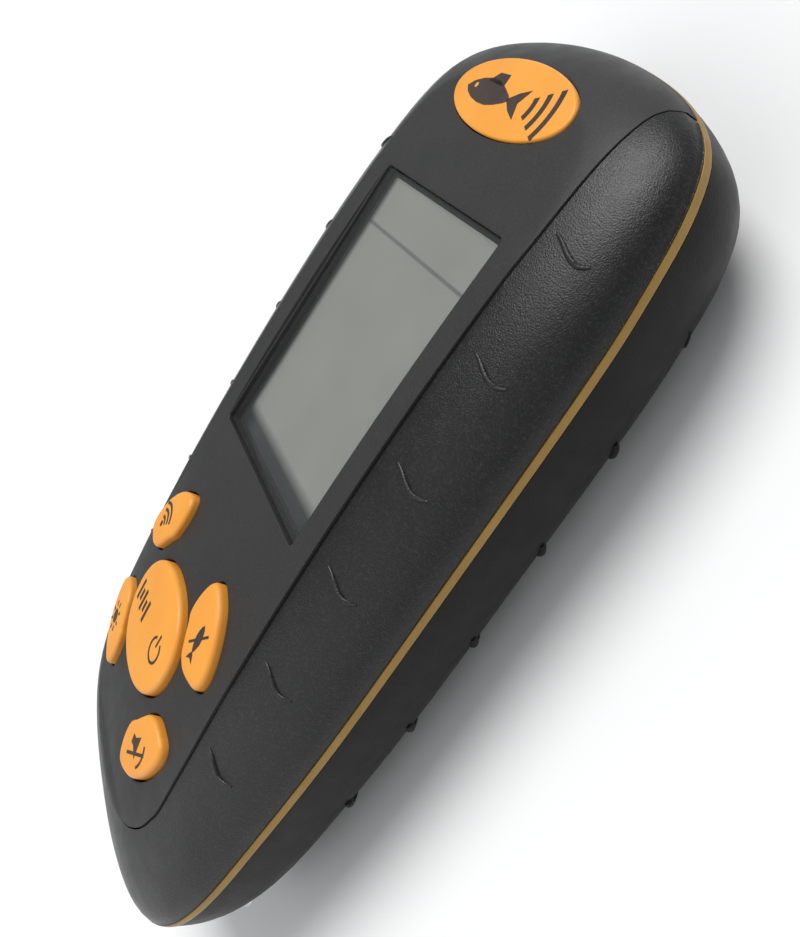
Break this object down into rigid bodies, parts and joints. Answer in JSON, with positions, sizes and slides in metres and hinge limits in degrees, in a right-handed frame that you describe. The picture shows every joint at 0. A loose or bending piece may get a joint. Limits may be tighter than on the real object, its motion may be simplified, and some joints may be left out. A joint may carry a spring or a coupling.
{
  "type": "fish finder",
  "caption": "Hand-held fish finder with a recessed screen, soft keys, rubber grips, a parting band, a battery bay with a sliding door and a cable socket in its top end.",
  "frame": {"origin": "middle of the footprint, on the plane the back rests on", "axes": "+X to the device's right, +Y towards the socket end, +Z out of the display face"},
  "size_m": [0.0666, 0.1284, 0.0303],
  "materials": {
    "plate_black": "fine satin texture",
    "grip_rubber": "soft-touch matte",
    "back_black": "satin",
    "orange_plastic": "satin",
    "gold_band": "satin gold paint",
    "lcd_glass": "polished grey-green",
    "lens_clear": "clear, polished",
    "light_guide": "milky",
    "tray_plastic": "moulded",
    "seal_black": "foam, matte",
    "mat_silicone": "silicone, matte",
    "board_green": "solder mask",
    "ribbon_amber": "film",
    "chip_black": "moulded",
    "ferrite_grey": "sintered",
    "plated_steel": "nickel plated",
    "contact_brass": "bright",
    "cell_sleeve": "printed film, plain"
  },
  "bodies": {
    "case": {"front_housing": "plate_black", "grip_overmould": "grip_rubber", "name_badge": "orange_plastic", "key_mat": "mat_silicone", "key_board": "board_green", "key_screw_1": "plated_steel", "key_screw_2": "plated_steel", "dome_centre": "plated_steel", "dome_sonar": "plated_steel", "dome_fish": "plated_steel", "dome_light": "plated_steel", "dome_sound": "plated_steel", "display_lens": "lens_clear", "lens_tape": "seal_black", "lcd_gasket": "seal_black", "lcd_cell": "lcd_glass", "backlight_plate": "light_guide", "lcd_tray": "tray_plastic", "lcd_ribbon": "ribbon_amber", "key_ribbon": "ribbon_amber", "main_board": "board_green", "board_screw_1": "plated_steel", "board_screw_2": "plated_steel", "controller_chip": "chip_black", "drive_transformer": "ferrite_grey", "sounder": "chip_black", "trim_band": "gold_band", "back_housing": "back_black", "case_screw_1": "plated_steel", "case_screw_2": "plated_steel", "case_screw_3": "plated_steel", "case_screw_4": "plated_steel", "cell_1": "cell_sleeve", "cell_2": "cell_sleeve", "cell_3": "cell_sleeve", "cell_4": "cell_sleeve", "spring_1": "plated_steel", "spring_2": "plated_steel", "spring_3": "plated_steel", "spring_4": "plated_steel", "contact_low_1": "contact_brass", "contact_low_2": "contact_brass", "contact_high_1": "contact_brass", "contact_high_2": "contact_brass", "contact_high_3": "contact_brass", "socket_body": "plated_steel", "socket_insert": "chip_black", "socket_pin_1": "contact_brass", "socket_pin_2": "contact_brass", "socket_nut": "plated_steel", "socket_seal": "seal_black"},
    "key_centre_body": {"key_centre": "orange_plastic"},
    "key_sonar_body": {"key_sonar": "orange_plastic"},
    "key_fish_body": {"key_fish": "orange_plastic"},
    "key_light_body": {"key_light": "orange_plastic"},
    "key_sound_body": {"key_sound": "orange_plastic"},
    "battery_door_body": {"battery_door": "back_black"}
  },
  "joints": [
    {"name": "centre_press", "type": "slide", "parent": "case", "child": "key_centre_body", "axis": [0, 0, -1], "range_m": [0, 0.0006], "stiffness_N_per_m": 1500, "springref_m": -0.0003},
    {"name": "sonar_press", "type": "slide", "parent": "case", "child": "key_sonar_body", "axis": [0, 0, -1], "range_m": [0, 0.0006], "stiffness_N_per_m": 1500, "springref_m": -0.0003},
    {"name": "fish_press", "type": "slide", "parent": "case", "child": "key_fish_body", "axis": [0, 0, -1], "range_m": [0, 0.0006], "stiffness_N_per_m": 1500, "springref_m": -0.0003},
    {"name": "light_press", "type": "slide", "parent": "case", "child": "key_light_body", "axis": [0, 0, -1], "range_m": [0, 0.0006], "stiffness_N_per_m": 1500, "springref_m": -0.0003},
    {"name": "sound_press", "type": "slide", "parent": "case", "child": "key_sound_body", "axis": [0, 0, -1], "range_m": [0, 0.0006], "stiffness_N_per_m": 1500, "springref_m": -0.0003},
    {"name": "door_slide", "type": "slide", "parent": "case", "child": "battery_door_body", "axis": [0, -1, 0], "range_m": [0, 0.045]}
  ]
}
